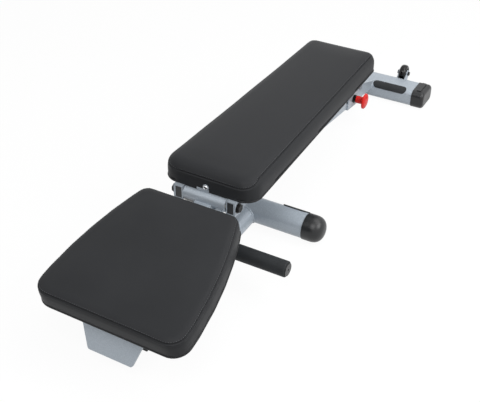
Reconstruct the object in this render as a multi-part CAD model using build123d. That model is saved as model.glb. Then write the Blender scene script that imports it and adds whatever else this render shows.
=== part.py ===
"""Adjustable weight bench: welded steel frame, tilting back rest on a sliding strut, tilting seat.

Millimetres, +Z up, +Y to the rear, +X to the right. Everything is laid out from the hinge axis of
the back rest (y = 0) and moved at the end so that the origin lies under the middle of the bench.
"""
import os
from math import cos, radians, sin

from build123d import *

# Fits between parts
TURN_CLEAR = 0.05
MOVE_GAP = 0.4
SLIDE_GAP = 0.6

# Hinge of the back rest
HINGE_Z = 229.0
HINGE_TUBE_R = 19.0
HINGE_TUBE_WALL = 4.0
HINGE_TUBE_HALF = 64.0
HINGE_BOLT_R = 8.0
HINGE_BUSH_R = 10.0
HINGE_FLANGE_R = 13.0
HINGE_HEAD_R = 12.0
HINGE_HEAD_H = 6.0
HINGE_WASHER_R = 14.0
HINGE_WASHER_H = 2.0

# Rails of the back rest
RAIL_X = 79.5
RAIL_W = 26.0
RAIL_H = 42.0
RAIL_WALL = 3.5
RAIL_FRONT = -14.0
RAIL_REAR = 812.0
PLUG_FLANGE = 3.0
PLUG_DEPTH = 15.0
PLUG_RECESS = 1.0
HINGE_PLATE_T = 2.5
HINGE_PLATE_END = 115.0
CROSS_PLATE_T = 4.0
CROSS_PLATE_W = 50.0
CROSS_FRONT_Y = 40.0
CROSS_REAR_Y = 740.0
CLIP_LEFT = -28.0
CLIP_RIGHT = 9.0
CLIP_T = 1.5
CLIP_FRONT = -4.0
CLIP_H = 7.0
CLIP_EAR_R = 9.0
DOME_R = 7.5
DOME_H = 4.5
DOME_SHANK_R = 3.0
DOME_UP = 13.5

# Back pad and its board
BOARD_T = 18.0
BOARD_INSET = 4.0
BACK_PAD_H = 65.0
BACK_PAD_FRONT = -2.0
BACK_PAD_HEAD = 880.0
BACK_HALF_WIDE = 143.0
BACK_HALF_HEAD = 121.5
BACK_FRONT_R = 48.0
BACK_HEAD_R = 28.0
PAD_TOP_R = 18.0
PAD_LOW_R = 2.0
SCREW_R = 3.0
SCREW_HEAD_R = 7.0
SCREW_HEAD_H = 3.5
SCREW_GRIP = 8.0
BACK_SCREW_X = 45.0

# Strut and the line its lower end slides on
SLIDE_FALL = 6.5
STRUT_L = 492.0
STRUT_HALF_H = 16.0
STRUT_T = 6.0
STRUT_BAR_R = 9.0
STRUT_BAR_AT = 150.0
STRUT_TOP_PIN_R = 7.0
STRUT_LOW_PIN_R = 6.0
STRUT_PIN_HEAD_R = 10.0
STRUT_PIN_HEAD_H = 4.0
SPACER_R = 11.0
BACK_STEPS = (0, 13, 26, 39, 52, 65)

# Sloping main beam
BEAM_W = 50.0
BEAM_WALL = 3.0
BEAM_DROP = 36.5
LADDER_HOLE_R = 5.6
BEAM_END = 1140.0
BEAM_END_T = 4.0
BEAM_END_FALL = 20.0

# Carriage on the beam
CAR_WALL = 4.0
CAR_FRONT = 75.0
CAR_REAR = 35.0
CAR_EAR_R = 13.0
PIN_AHEAD = 28.0

# Pull pin, the same on the carriage and on the seat
PULL_IN = 4.0
PULL_OUT = 6.0
PULL_R = 5.0
PULL_NOSE_GAP = 0.5
PULL_FLANGE_R = 14.0
PULL_FLANGE_H = 6.4
PULL_NECK_R = 10.0
PULL_NECK_L = 28.4
PULL_CAVITY_R = 8.0
PULL_CAVITY_IN = 3.4
PULL_CAVITY_END = 3.0
PULL_COLLAR_T = 2.0
KNOB_STEM_R = 13.0
KNOB_DISC_R = 27.0
KNOB_DISC_T = 16.0
KNOB_RIM_T = 4.0
KNOB_OUT = 48.5

# Upright, floor tube and front leg
UPRIGHT_W = 50.0
UPRIGHT_HALF_D = 35.0
UPRIGHT_WALL = 3.0
UPRIGHT_TOP = 221.0
FLOOR_TUBE_R = 30.0
FLOOR_TUBE_WALL = 3.0
FLOOR_LIFT = 2.0
FLOOR_TUBE_FRONT = -420.0
FOOT_BLOCK_W = 84.0
FOOT_BLOCK_H = 22.0
FOOT_BLOCK_FRONT = -365.0
FOOT_BLOCK_REAR = -315.0
LEG_T = 5.0
LEG_BOTTOM_Y = -458.0
LEG_BOTTOM_Z = 40.0
LEG_LEAN = 18.0
LEG_H = 88.0
LEG_HALF_BOTTOM = 65.0
LEG_HALF_TOP = 96.0
LEG_CORNER_R = 8.0
CHEEK_T = 6.0
CHEEK_REAR = -372.0
STOP_Y = -400.0
STOP_POST_R = 12.0
STOP_RUBBER_R = 14.0
STOP_RUBBER_H = 12.0

# Lifting handle
HANDLE_Y = -12.0
HANDLE_Z = 93.0
HANDLE_R = 12.5
HANDLE_WALL = 3.0
HANDLE_HALF = 250.0
GRIP_R = 22.5
GRIP_L = 176.0
GRIP_PLUG_R = 21.0
GRIP_PLUG_T = 3.0
GRIP_PLUG_HOLE_R = 3.0

# Front foot
FRONT_FOOT_Y = 246.0
FRONT_FOOT_R = 38.0
FRONT_FOOT_WALL = 3.0
FRONT_FOOT_HALF = 183.0
CAP_PROUD = 2.0
FRONT_CAP_L = 58.0
FRONT_CAP_STRAIGHT = 22.0
SPIGOT_L = 25.0
TREAD_T = 3.0
FRONT_TREAD_LEAN = 45.0
FRONT_TREAD_END = 3.0
FRONT_TREAD_L = 85.0
FRONT_TREAD_W = 30.0

# Rear foot
REAR_FOOT_FRONT = 1122.0
REAR_FOOT_D = 100.0
REAR_FOOT_H = 60.0
REAR_FOOT_R = 20.0
REAR_FOOT_WALL = 3.0
REAR_FOOT_HALF = 178.0
REAR_CAP_L = 45.0
REAR_CAP_SOFT = 12.0
RIDGE_IN = 12.0
RIDGE_W = 16.0
RIDGE_D = 64.0
RIDGE_H = 3.0
REAR_TREAD_END = 24.0
REAR_TREAD_GAP = 3.0
REAR_TREAD_W = 30.0
REAR_TREAD_LEAN = 30.0

# Transport wheels
WHEEL_X = 100.0
WHEEL_Y = 1250.0
WHEEL_Z = 65.0
WHEEL_R = 30.0
WHEEL_HUB_R = 19.0
WHEEL_HALF_W = 12.0
WHEEL_SOFT = 4.0
WHEEL_DISH = 3.0
AXLE_R = 5.0
AXLE_HEAD_R = 8.0
AXLE_HEAD_H = 5.0
EAR_T = 4.0
EAR_R = 13.0
EAR_GAP = 1.0
EAR_BASE_T = 4.0
EAR_BASE_LOW = 12.0
EAR_BASE_TOP = 36.0
NOTCH_HALF = 16.0
NOTCH_FRONT = 1208.0
NOTCH_LOW = 40.0

# Seat, laid out in its own frame: s runs forwards down the slope, h is measured from the top face
SEAT_TILT = 11.75
SEAT_REF_Y = -14.0
SEAT_REF_Z = 285.3
SEAT_REAR_S = 66.0
SEAT_FRONT_S = 470.0
SEAT_PAD_H = 58.0
SEAT_HALF_REAR = 144.0
SEAT_HALF_MID = 194.0
SEAT_MID_S = 240.0
SEAT_HALF_FRONT = 213.0
SEAT_FRONT_R = 46.0
SEAT_REAR_R = 22.0
SEAT_TUBE_W = 40.0
SEAT_TUBE_H = 25.0
SEAT_TUBE_WALL = 2.5
SEAT_TUBE_END_S = 424.0
SEAT_HINGE_S = 97.4
SEAT_BARREL_R = 12.0
SEAT_BARREL_HALF = 24.5
SEAT_PIN_R = 6.0
SEAT_PIN_HEAD_R = 9.0
SEAT_PIN_HEAD_H = 4.0
WING_IN_S = 240.0
WING_OUT_S = 310.0
WING_X = 125.0
WING_T = 4.0
SEAT_SCREW_X = 100.0
LUG_T = 6.0
LUG_R = 11.0
SECTOR_R = 80.0
SECTOR_RIM = 13.0
SECTOR_T = 6.0
SECTOR_X = -20.0
SECTOR_STEM = 13.0
SEAT_STEPS = (0, 10)

# Derived positions
BOARD_Z = HINGE_Z + RAIL_H / 2
FLOOR_TUBE_Z = FLOOR_LIFT + FLOOR_TUBE_R
FRONT_FOOT_Z = CAP_PROUD + FRONT_FOOT_R
REAR_FOOT_Y = REAR_FOOT_FRONT + REAR_FOOT_D / 2
REAR_FOOT_Z = CAP_PROUD + REAR_FOOT_H / 2
REAR_TREAD_L = REAR_FOOT_HALF - REAR_TREAD_END - BEAM_W / 2 - REAR_TREAD_GAP
RAIL_IN = RAIL_X - RAIL_W / 2
RAIL_OUT = RAIL_X + RAIL_W / 2
CAR_HALF = BEAM_W / 2 + SLIDE_GAP + CAR_WALL
STRUT_IN = CAR_HALF + SLIDE_GAP
STRUT_OUT = STRUT_IN + STRUT_T
CAR_AT = 2 * STRUT_L * cos(radians(SLIDE_FALL))
SEAT_HINGE_H = SEAT_PAD_H + SEAT_TUBE_H / 2
SLOPE_SIN = sin(radians(SEAT_TILT))
SLOPE_COS = cos(radians(SEAT_TILT))
SEAT_HINGE_Y = SEAT_REF_Y - SEAT_HINGE_S * SLOPE_COS + SEAT_HINGE_H * SLOPE_SIN
SEAT_HINGE_Z = SEAT_REF_Z - SEAT_HINGE_S * SLOPE_SIN - SEAT_HINGE_H * SLOPE_COS
LUG_IN = UPRIGHT_W / 2
LUG_OUT = LUG_IN + LUG_T
FRONT_END = SEAT_REF_Y - (SEAT_FRONT_S - PAD_TOP_R) * SLOPE_COS + PAD_TOP_R * (SLOPE_SIN - 1)
REAR_END = WHEEL_Y + WHEEL_R
ORIGIN_Y = (FRONT_END + REAR_END) / 2

beam_frame = Pos(0, 0, HINGE_Z) * Rot(-SLIDE_FALL, 0, 0)
strut_frame = Pos(0, STRUT_L, HINGE_Z) * Rot(-2 * SLIDE_FALL, 0, 0)
seat_frame = Pos(0, SEAT_REF_Y, SEAT_REF_Z) * Rot(SEAT_TILT, 0, 0)
leg_frame = Pos(0, LEG_BOTTOM_Y, LEG_BOTTOM_Z) * Rot(-LEG_LEAN, 0, 0)

nodes = {}


def block(x0, x1, y0, y1, z0, z1):
    """Box between two corners."""
    return Pos((x0 + x1) / 2, (y0 + y1) / 2, (z0 + z1) / 2) * Box(x1 - x0, y1 - y0, z1 - z0)


def rod_x(radius, x0, x1, y=0.0, z=0.0):
    """Round bar along X."""
    return Pos((x0 + x1) / 2, y, z) * Rot(0, 90, 0) * Cylinder(radius, x1 - x0)


def rod_y(radius, y0, y1, x=0.0, z=0.0):
    """Round bar along Y."""
    return Pos(x, (y0 + y1) / 2, z) * Rot(90, 0, 0) * Cylinder(radius, y1 - y0)


def rod_z(radius, z0, z1, x=0.0, y=0.0):
    """Round bar along Z."""
    return Pos(x, y, (z0 + z1) / 2) * Cylinder(radius, z1 - z0)


def side_plate(points, x0, x1):
    """Flat plate drawn from the side, in Y and Z, between two X positions."""
    face = make_face(Polyline(*points, close=True))
    return Pos(x0, 0, 0) * extrude(Plane.YZ * face, x1 - x0)


def mirrored(part):
    """The same part on the other side of the bench."""
    return mirror(part, Plane.YZ)


def both_sides(name, part):
    """File a right-hand part and its left-hand twin."""
    nodes[name + "_right"] = part
    nodes[name + "_left"] = mirrored(part)


def hex_head(radius, height, x0, y, z):
    """Six-sided bolt head along X, starting at x0."""
    face = RegularPolygon(radius, 6)
    return Pos(x0, y, z) * Rot(0, 90, 0) * extrude(face, height)


def screw(x, y, z):
    """Pad screw from below: flat head under z, shank up into the board."""
    head = rod_z(SCREW_HEAD_R, z - SCREW_HEAD_H, z, x, y)
    return head + rod_z(SCREW_R, z, z + CROSS_PLATE_T + SCREW_GRIP, x, y)


def pad_edges(solid, top_r, low_r):
    """Round the top edge well and the bottom edge a little."""
    faces = solid.faces().sort_by(Axis.Z)
    solid = fillet(faces[-1].edges(), top_r)
    return fillet(solid.faces().sort_by(Axis.Z)[0].edges(), low_r)


def back_outline(inset):
    """Plan outline of the back pad: round front corners, slow taper to the head."""
    front = BACK_PAD_FRONT + inset
    head = BACK_PAD_HEAD - inset
    wide = BACK_HALF_WIDE - inset
    slim = BACK_HALF_HEAD - inset
    face = make_face(Polyline((-wide, front), (wide, front), (slim, head), (-slim, head), close=True))
    face = fillet(face.vertices().sort_by(Axis.Y)[:2], BACK_FRONT_R)
    return fillet(face.vertices().sort_by(Axis.Y)[-2:], BACK_HEAD_R)


def seat_outline(inset):
    """Plan outline of the seat pad in its own frame: narrow rear, bowed sides, broad round front."""
    rear = -SEAT_REAR_S - inset
    front = -SEAT_FRONT_S + inset
    rear_corner = (SEAT_HALF_REAR - inset, rear)
    bow = (SEAT_HALF_MID - inset, -SEAT_MID_S)
    front_corner = (SEAT_HALF_FRONT - inset, front)
    side = ThreePointArc(rear_corner, bow, front_corner)
    edges = [side, mirror(side, Plane.YZ)]
    edges += [Line((-rear_corner[0], rear), rear_corner), Line((-front_corner[0], front), front_corner)]
    face = make_face(edges)
    face = fillet(face.vertices().sort_by(Axis.Y)[:2], SEAT_FRONT_R)
    return fillet(face.vertices().sort_by(Axis.Y)[-2:], SEAT_REAR_R)


def pull_pin(base, nose):
    """Pull pin along +X: housing with collar, plunger and knob, with its base face at x = base."""
    neck_end = base + PULL_NECK_L
    cavity = base + PULL_CAVITY_IN
    housing = rod_x(PULL_FLANGE_R, base, base + PULL_FLANGE_H) + rod_x(PULL_NECK_R, base, neck_end)
    housing -= rod_x(PULL_R + TURN_CLEAR, base, neck_end)
    housing -= rod_x(PULL_CAVITY_R, cavity, neck_end - PULL_CAVITY_END)
    stem = base + PULL_FLANGE_H + PULL_IN + MOVE_GAP
    bore_end = neck_end + PULL_IN + MOVE_GAP
    collar = cavity + PULL_IN + MOVE_GAP
    plunger = rod_x(PULL_R, nose, bore_end) + rod_x(PULL_CAVITY_R - MOVE_GAP, collar, collar + PULL_COLLAR_T)
    tip = base + KNOB_OUT
    disc = tip - KNOB_DISC_T
    rim_in = tip - (KNOB_DISC_T + KNOB_RIM_T) / 2
    rim_out = rim_in + KNOB_RIM_T
    bore_r = PULL_NECK_R + MOVE_GAP
    profile = make_face([
        Polyline((bore_end, 0), (bore_end, bore_r), (stem, bore_r), (stem, KNOB_STEM_R), (disc, KNOB_STEM_R),
                 (rim_in, KNOB_DISC_R), (rim_out, KNOB_DISC_R)),
        Spline((rim_out, KNOB_DISC_R), (tip, 0), tangents=((1, -1), (0, -1))),
        Line((tip, 0), (bore_end, 0)),
    ])
    return housing, plunger, revolve(profile, Axis.X)


# Front foot: round tube across the floor with domed caps and treads
front_place = Pos(0, FRONT_FOOT_Y, FRONT_FOOT_Z)
front_core = front_place * rod_x(FRONT_FOOT_R, -FRONT_FOOT_HALF, FRONT_FOOT_HALF)
front_bore_r = FRONT_FOOT_R - FRONT_FOOT_WALL
nodes["front_foot"] = front_core - front_place * rod_x(front_bore_r, -FRONT_FOOT_HALF, FRONT_FOOT_HALF)

cap_r = FRONT_FOOT_R + CAP_PROUD
cap_side = FRONT_FOOT_HALF + FRONT_CAP_STRAIGHT
cap_tip = FRONT_FOOT_HALF + FRONT_CAP_L
dome = make_face([
    Line((FRONT_FOOT_HALF, 0), (FRONT_FOOT_HALF, cap_r)),
    Line((FRONT_FOOT_HALF, cap_r), (cap_side, cap_r)),
    Spline((cap_side, cap_r), (cap_tip, 0), tangents=((1, 0), (0, -1))),
    Line((cap_tip, 0), (FRONT_FOOT_HALF, 0)),
])
front_spigot = rod_x(front_bore_r - TURN_CLEAR, FRONT_FOOT_HALF - SPIGOT_L, FRONT_FOOT_HALF)
both_sides("front_cap", front_place * (revolve(dome, Axis.X) + front_spigot))

tread_mid = Pos(FRONT_FOOT_HALF - FRONT_TREAD_END - FRONT_TREAD_L / 2, 0, 0)
slot = SlotOverall(FRONT_TREAD_L, FRONT_TREAD_W)
slot_prism = tread_mid * Rot(-FRONT_TREAD_LEAN, 0, 0) * extrude(slot, 2 * FRONT_FOOT_R)
sleeve = rod_x(FRONT_FOOT_R + TREAD_T, 0, FRONT_FOOT_HALF) - rod_x(FRONT_FOOT_R, 0, FRONT_FOOT_HALF)
both_sides("front_tread", front_place * (sleeve & slot_prism))

# Rear foot: rounded rectangular tube with moulded caps, treads and notches for the wheels
rear_place = Pos(0, REAR_FOOT_Y, REAR_FOOT_Z)


def rear_section(grow, x0, x1):
    """Length of the rear foot's section, larger all round by grow."""
    face = RectangleRounded(REAR_FOOT_D + 2 * grow, REAR_FOOT_H + 2 * grow, REAR_FOOT_R + grow)
    return rear_place * Pos(x0, 0, 0) * extrude(Plane.YZ * face, x1 - x0)


rear_core = rear_section(0, -REAR_FOOT_HALF, REAR_FOOT_HALF)
rear_foot = rear_core - rear_section(-REAR_FOOT_WALL, -REAR_FOOT_HALF, REAR_FOOT_HALF)
for side in (-1, 1):
    notch_x = side * WHEEL_X
    rear_foot -= block(notch_x - NOTCH_HALF, notch_x + NOTCH_HALF, NOTCH_FRONT,
                       REAR_FOOT_FRONT + 2 * REAR_FOOT_D, NOTCH_LOW, REAR_FOOT_H * 2)

rear_cap = rear_section(CAP_PROUD, REAR_FOOT_HALF, REAR_FOOT_HALF + REAR_CAP_L)
rear_cap = fillet(rear_cap.faces().sort_by(Axis.X)[-1].edges(), REAR_CAP_SOFT)
rear_cap += rear_section(-REAR_FOOT_WALL - TURN_CLEAR, REAR_FOOT_HALF - SPIGOT_L, REAR_FOOT_HALF)
ridge_top = 2 * CAP_PROUD + REAR_FOOT_H + RIDGE_H
ridge = block(REAR_FOOT_HALF + RIDGE_IN, REAR_FOOT_HALF + RIDGE_IN + RIDGE_W,
              REAR_FOOT_Y - RIDGE_D / 2, REAR_FOOT_Y + RIDGE_D / 2, REAR_FOOT_Z, ridge_top)
rear_cap += fillet(ridge.edges().filter_by(Axis.Z), RIDGE_H)
both_sides("rear_cap", rear_cap)

tread_mid = Pos(REAR_FOOT_HALF - REAR_TREAD_END - REAR_TREAD_L / 2, 0, 0)
slot = SlotOverall(REAR_TREAD_L, REAR_TREAD_W)
slot_prism = tread_mid * Rot(REAR_TREAD_LEAN, 0, 0) * extrude(slot, REAR_FOOT_D)
corner = Pos(0, REAR_FOOT_FRONT + REAR_FOOT_R, CAP_PROUD + REAR_FOOT_H - REAR_FOOT_R)
shell = rear_section(TREAD_T, 0, REAR_FOOT_HALF) - rear_section(0, 0, REAR_FOOT_HALF)
both_sides("rear_tread", shell & (corner * slot_prism))

# Transport wheels between two ears behind the rear foot
foot_rear = REAR_FOOT_FRONT + REAR_FOOT_D
hub_half = WHEEL_HALF_W + EAR_GAP - MOVE_GAP
ear_in = WHEEL_HALF_W + EAR_GAP
ear_out = ear_in + EAR_T
ear = side_plate([(foot_rear, EAR_BASE_LOW), (foot_rear + EAR_BASE_T, EAR_BASE_LOW),
                  (WHEEL_Y + EAR_R * 0.8, WHEEL_Z - EAR_R * 0.6), (WHEEL_Y, WHEEL_Z + EAR_R),
                  (foot_rear, WHEEL_Z - EAR_R)], ear_in, ear_out)
ear += rod_x(EAR_R, ear_in, ear_out, WHEEL_Y, WHEEL_Z)
bracket = ear + mirrored(ear)
bracket += block(-ear_out, ear_out, foot_rear, foot_rear + EAR_BASE_T, EAR_BASE_LOW, EAR_BASE_TOP)
bracket -= rod_x(AXLE_R, -ear_out, ear_out, WHEEL_Y, WHEEL_Z)
bracket = Pos(WHEEL_X, 0, 0) * bracket
nodes["rear_foot"] = rear_foot + bracket + mirrored(bracket)
axle = rod_x(AXLE_R, -ear_out, ear_out, WHEEL_Y, WHEEL_Z)
axle += hex_head(AXLE_HEAD_R, AXLE_HEAD_H, ear_out, WHEEL_Y, WHEEL_Z)
axle += hex_head(AXLE_HEAD_R, AXLE_HEAD_H, -ear_out - AXLE_HEAD_H, WHEEL_Y, WHEEL_Z)
both_sides("wheel_axle", Pos(WHEEL_X, 0, 0) * axle)
wheel = rod_x(WHEEL_R, -WHEEL_HALF_W, WHEEL_HALF_W, WHEEL_Y, WHEEL_Z)
wheel = fillet(wheel.edges().filter_by(GeomType.CIRCLE), WHEEL_SOFT)
for face_in, face_out in ((-ear_in, -WHEEL_HALF_W + WHEEL_DISH), (WHEEL_HALF_W - WHEEL_DISH, ear_in)):
    wheel -= rod_x(WHEEL_HUB_R, face_in, face_out, WHEEL_Y, WHEEL_Z)
wheel += rod_x(AXLE_HEAD_R, -hub_half, hub_half, WHEEL_Y, WHEEL_Z)
wheel -= rod_x(AXLE_R + TURN_CLEAR, -ear_in, ear_in, WHEEL_Y, WHEEL_Z)
both_sides("wheel", Pos(WHEEL_X, 0, 0) * wheel)

# Floor tube from the front leg to the front foot
floor_core = rod_y(FLOOR_TUBE_R, FLOOR_TUBE_FRONT, FRONT_FOOT_Y, 0, FLOOR_TUBE_Z)
floor_bore_r = FLOOR_TUBE_R - FLOOR_TUBE_WALL
floor_tube = floor_core - rod_y(floor_bore_r, FLOOR_TUBE_FRONT, FRONT_FOOT_Y, 0, FLOOR_TUBE_Z)
plug_end = FLOOR_TUBE_FRONT + PLUG_DEPTH
floor_plug = rod_y(floor_bore_r - TURN_CLEAR, FLOOR_TUBE_FRONT, plug_end, 0, FLOOR_TUBE_Z)
floor_plug += rod_y(FLOOR_TUBE_R, FLOOR_TUBE_FRONT - PLUG_FLANGE, FLOOR_TUBE_FRONT, 0, FLOOR_TUBE_Z)
nodes["floor_tube_plug"] = floor_plug
foot_block = block(-FOOT_BLOCK_W / 2, FOOT_BLOCK_W / 2, FOOT_BLOCK_FRONT, FOOT_BLOCK_REAR, 0, FOOT_BLOCK_H)
nodes["front_rubber_foot"] = foot_block - floor_core

# Front leg: leaning plate with two cheeks welded to the sides of the floor tube
leg_face = make_face(Polyline((-LEG_HALF_BOTTOM, 0), (LEG_HALF_BOTTOM, 0), (LEG_HALF_TOP, LEG_H),
                              (-LEG_HALF_TOP, LEG_H), close=True))
leg_face = fillet(leg_face.vertices().sort_by(Axis.Y)[:2], LEG_CORNER_R)
leg_plate = leg_frame * extrude(Plane.XZ * leg_face, -LEG_T)
cheek = side_plate([(LEG_BOTTOM_Y, LEG_BOTTOM_Z), (FLOOR_TUBE_FRONT, FLOOR_TUBE_Z - STOP_POST_R),
                    (CHEEK_REAR, FLOOR_TUBE_Z - STOP_POST_R), (CHEEK_REAR, FLOOR_TUBE_Z + STOP_POST_R),
                    (LEG_BOTTOM_Y + LEG_H * sin(radians(LEG_LEAN)), LEG_BOTTOM_Z + LEG_H / 2)],
                   FLOOR_TUBE_R, FLOOR_TUBE_R + CHEEK_T)
leg_front_half = leg_frame * block(-LEG_HALF_TOP, LEG_HALF_TOP, -LEG_H, 0, -LEG_H, 2 * LEG_H)
nodes["front_leg"] = (leg_plate + cheek + mirrored(cheek)) - leg_front_half

# Upright, sloping beam and hinge tube
upright = block(-UPRIGHT_W / 2, UPRIGHT_W / 2, -UPRIGHT_HALF_D, UPRIGHT_HALF_D, FLOOR_TUBE_Z, UPRIGHT_TOP)
upright_in = UPRIGHT_W / 2 - UPRIGHT_WALL
upright_in_d = UPRIGHT_HALF_D - UPRIGHT_WALL
upright -= block(-upright_in, upright_in, -upright_in_d, upright_in_d, FLOOR_TUBE_Z, UPRIGHT_TOP)
hinge_core = rod_x(HINGE_TUBE_R, -HINGE_TUBE_HALF, HINGE_TUBE_HALF, 0, HINGE_Z)
handle_core = rod_x(HANDLE_R, -HANDLE_HALF, HANDLE_HALF, HANDLE_Y, HANDLE_Z)
hinge_bore = rod_x(HINGE_TUBE_R - HINGE_TUBE_WALL, -HINGE_TUBE_HALF, HINGE_TUBE_HALF, 0, HINGE_Z)
nodes["hinge_tube"] = hinge_core - hinge_bore

beam_half = BEAM_W / 2
beam_core = block(-beam_half, beam_half, 0, foot_rear, -BEAM_DROP - beam_half, -BEAM_DROP + beam_half)
beam_in = beam_half - BEAM_WALL
beam = beam_core - block(-beam_in, beam_in, 0, foot_rear, -BEAM_DROP - beam_in, -BEAM_DROP + beam_in)
for step in BACK_STEPS:
    hole_at = 2 * STRUT_L * cos(radians(SLIDE_FALL + step)) - PIN_AHEAD
    beam -= rod_x(LADDER_HOLE_R, 0, BEAM_W, hole_at, -BEAM_DROP)
end_frame = Pos(0, BEAM_END, CAP_PROUD + REAR_FOOT_H) * Rot(-BEAM_END_FALL, 0, 0)
beam = beam_frame * beam - end_frame * block(-BEAM_W, BEAM_W, -BEAM_END, BEAM_END, -BEAM_END_T, 2 * BEAM_END)
beam += beam_frame * beam_core & end_frame * block(-BEAM_W, BEAM_W, -BEAM_END, 0, -BEAM_END_T, 0)
beam -= block(-BEAM_W, BEAM_W, -BEAM_W, UPRIGHT_HALF_D, 0, 2 * HINGE_Z)
beam -= rear_core
nodes["main_beam"] = beam.solids().sort_by(SortBy.VOLUME)[-1]

# Hinge bolt with washers, head and nut
hinge_out = RAIL_OUT + HINGE_PLATE_T + MOVE_GAP
head_out = hinge_out + HINGE_WASHER_H
hinge_bolt = rod_x(HINGE_BOLT_R, -head_out - HINGE_HEAD_H, head_out, 0, HINGE_Z)
hinge_bolt += rod_x(HINGE_WASHER_R, hinge_out, head_out, 0, HINGE_Z)
hinge_bolt += hex_head(HINGE_HEAD_R, HINGE_HEAD_H, head_out, 0, HINGE_Z)
hinge_bolt += rod_x(HINGE_WASHER_R, -head_out, -hinge_out, 0, HINGE_Z)
hinge_bolt += hex_head(HINGE_HEAD_R, HINGE_HEAD_H, -head_out - HINGE_HEAD_H, 0, HINGE_Z)
nodes["hinge_bolt"] = hinge_bolt

# Lifting handle through the upright, with rubber grips
handle_bore = rod_x(HANDLE_R - HANDLE_WALL, -HANDLE_HALF, HANDLE_HALF, HANDLE_Y, HANDLE_Z)
nodes["handle_bar"] = handle_core - handle_bore
grip = rod_x(GRIP_R, HANDLE_HALF - GRIP_L, HANDLE_HALF, HANDLE_Y, HANDLE_Z)
both_sides("grip", fillet(grip.edges().filter_by(GeomType.CIRCLE), GRIP_PLUG_T) - handle_core)
grip_plug = rod_x(GRIP_PLUG_R - GRIP_PLUG_T, HANDLE_HALF, HANDLE_HALF + GRIP_PLUG_T, HANDLE_Y, HANDLE_Z)
plug_r = HANDLE_R - HANDLE_WALL - TURN_CLEAR
grip_plug += rod_x(plug_r, HANDLE_HALF - PLUG_DEPTH, HANDLE_HALF, HANDLE_Y, HANDLE_Z)
grip_plug -= rod_x(GRIP_PLUG_HOLE_R, HANDLE_HALF - PLUG_DEPTH, HANDLE_HALF + GRIP_PLUG_T, HANDLE_Y, HANDLE_Z)
both_sides("grip_plug", grip_plug)

# Back rest: rails, plugs, hinge plates and cross plates
rail_low = HINGE_Z - RAIL_H / 2
strut_top = rod_x(STRUT_TOP_PIN_R, -RAIL_OUT, RAIL_OUT, STRUT_L, HINGE_Z)
rail = block(RAIL_IN, RAIL_OUT, RAIL_FRONT, RAIL_REAR, rail_low, BOARD_Z)
rail_hollow = block(RAIL_IN + RAIL_WALL, RAIL_OUT - RAIL_WALL, RAIL_FRONT, RAIL_REAR,
                    rail_low + RAIL_WALL, BOARD_Z - RAIL_WALL)
hinge_hole = rod_x(HINGE_BUSH_R, RAIL_IN, RAIL_OUT, 0, HINGE_Z)
hinge_plate = side_plate([(RAIL_FRONT, rail_low), (HINGE_FLANGE_R, rail_low),
                          (HINGE_PLATE_END, HINGE_Z + RAIL_H / 4), (HINGE_PLATE_END, BOARD_Z),
                          (RAIL_FRONT, BOARD_Z)], RAIL_OUT, RAIL_OUT + HINGE_PLATE_T)
bolt_clear = rod_x(HINGE_BOLT_R + TURN_CLEAR, 0, BACK_HALF_WIDE, 0, HINGE_Z)
both_sides("back_rail", rail - rail_hollow - hinge_hole - strut_top + (hinge_plate - bolt_clear))
bush = hinge_hole + rod_x(HINGE_FLANGE_R, HINGE_TUBE_HALF + MOVE_GAP, RAIL_IN, 0, HINGE_Z)
both_sides("hinge_bush", bush - bolt_clear)


def plug_body(y0, y1):
    """Length of plug that fills the inside of a rail."""
    in_gap = RAIL_WALL + TURN_CLEAR
    return block(RAIL_IN + in_gap, RAIL_OUT - in_gap, y0, y1, rail_low + in_gap, BOARD_Z - in_gap)


bush_room = rod_x(HINGE_BUSH_R + MOVE_GAP, RAIL_IN, RAIL_OUT, 0, HINGE_Z)
front_plug = plug_body(RAIL_FRONT + PLUG_RECESS, RAIL_FRONT + PLUG_DEPTH) - bush_room
both_sides("rail_plug", front_plug.solids().sort_by(SortBy.VOLUME)[-1])
end_flange = block(RAIL_IN, RAIL_OUT, RAIL_REAR, RAIL_REAR + PLUG_FLANGE, rail_low, BOARD_Z)
both_sides("rail_end", end_flange + plug_body(RAIL_REAR - PLUG_DEPTH, RAIL_REAR))
back_screws = []
for name, plate_y in (("cross_plate_front", CROSS_FRONT_Y), ("cross_plate_rear", CROSS_REAR_Y)):
    plate = block(-RAIL_IN, RAIL_IN, plate_y, plate_y + CROSS_PLATE_W, BOARD_Z - CROSS_PLATE_T, BOARD_Z)
    for side in (-1, 1):
        fixing = screw(side * BACK_SCREW_X, plate_y + CROSS_PLATE_W / 2, BOARD_Z - CROSS_PLATE_T)
        plate -= fixing
        back_screws.append(fixing)
    nodes[name] = plate

# Clip and dome bolt at the front edge of the back board
dome_z = BOARD_Z + DOME_UP
clip = block(CLIP_LEFT, CLIP_RIGHT, CLIP_FRONT, CROSS_FRONT_Y, BOARD_Z - CLIP_T, BOARD_Z)
clip += block(CLIP_LEFT, CLIP_RIGHT, CLIP_FRONT, CLIP_FRONT + CLIP_T, BOARD_Z - CLIP_T, BOARD_Z + CLIP_H)
clip += rod_y(CLIP_EAR_R, CLIP_FRONT, CLIP_FRONT + CLIP_T, 0, dome_z)
dome_grip = BACK_PAD_FRONT + BOARD_INSET + SCREW_GRIP - CLIP_FRONT
dome_shank = rod_y(DOME_SHANK_R, CLIP_FRONT, CLIP_FRONT + dome_grip, 0, dome_z)
nodes["cross_plate_front"] += clip - dome_shank
bolt_face = make_face([
    Spline((0, -DOME_H), (DOME_R, 0), tangents=((1, 0), (0, 1))),
    Polyline((DOME_R, 0), (DOME_SHANK_R, 0), (DOME_SHANK_R, dome_grip), (0, dome_grip), (0, -DOME_H)),
])
nodes["clip_bolt"] = Pos(0, CLIP_FRONT, dome_z) * revolve(bolt_face, Axis.Y)

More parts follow.
